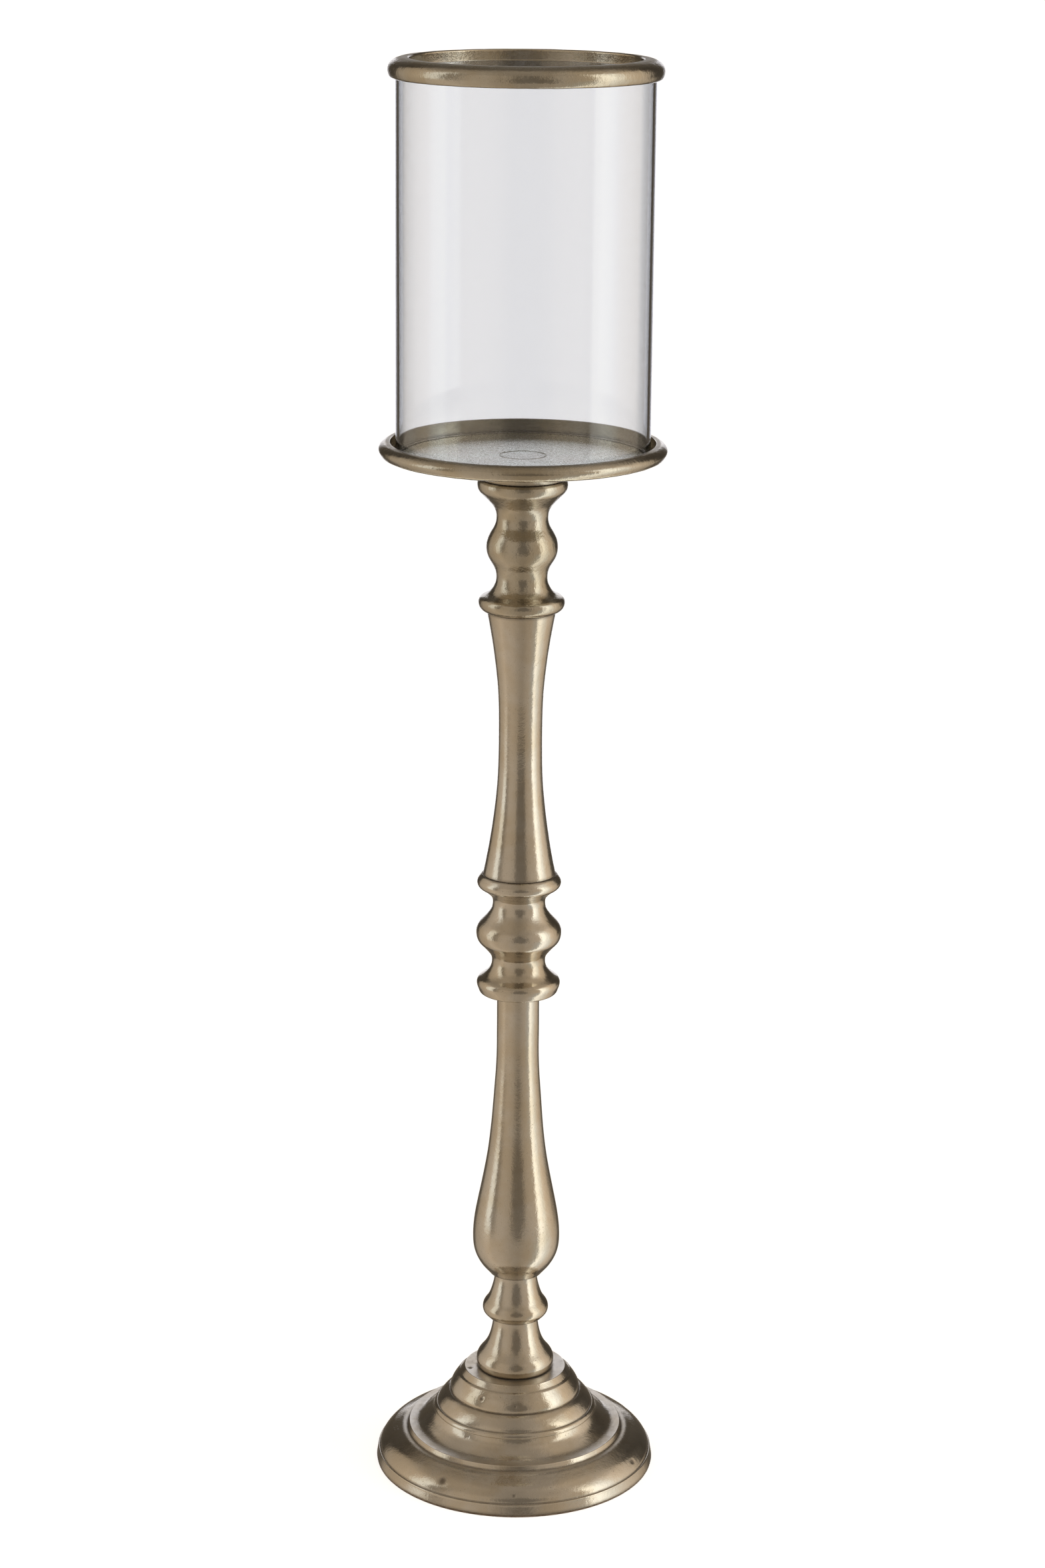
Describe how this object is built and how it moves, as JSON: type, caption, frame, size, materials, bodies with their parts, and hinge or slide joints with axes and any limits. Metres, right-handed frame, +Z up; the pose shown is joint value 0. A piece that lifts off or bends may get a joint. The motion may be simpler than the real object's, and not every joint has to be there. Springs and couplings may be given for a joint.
{
  "type": "hurricane candle lantern",
  "caption": "Tall turned metal candle stand with a round tray, an open glass hurricane cylinder standing in it and a metal rim ring on the glass.",
  "frame": {"origin": "on the stand's axis, at the underside of the felt ring under the base", "axes": "+Z up along the axis of the stand, glass and rim ring; X and Y are level and the part is round about Z"},
  "size_m": [0.2096, 0.2096, 1.0485],
  "materials": {
    "cast_metal": "cast aluminium with a warm raw nickel finish, semi-polished, with fine casting grain and small pits",
    "tray_floor_metal": "the same nickel finish over a rougher sand-cast floor",
    "clear_glass": "clear blown cylinder, cut and fire-polished edges",
    "zinc_steel": "bright zinc plate",
    "felt": "brown pressed felt"
  },
  "bodies": {
    "stand": {"tray": "cast_metal", "tray_plug": "tray_floor_metal", "top_nut": "zinc_steel", "top_washer": "zinc_steel", "neck_casting": "cast_metal", "upper_shaft": "cast_metal", "centre_knop": "cast_metal", "lower_shaft": "cast_metal", "small_bell": "cast_metal", "large_bell": "cast_metal", "base": "cast_metal", "base_felt": "felt", "base_washer": "zinc_steel", "lock_washer": "zinc_steel", "base_nut": "zinc_steel", "coupling_nut": "zinc_steel", "tie_rod_lower": "zinc_steel", "tie_rod_upper": "zinc_steel"},
    "glass": {"glass_cylinder": "clear_glass"},
    "rim": {"rim_ring": "cast_metal"}
  },
  "joints": [
    {"name": "glass_lift", "type": "slide", "parent": "stand", "child": "glass", "axis": [0, 0, 1], "range_m": [0, 0.12]},
    {"name": "rim_lift", "type": "slide", "parent": "glass", "child": "rim", "axis": [0, 0, 1], "range_m": [0, 0.06]}
  ]
}
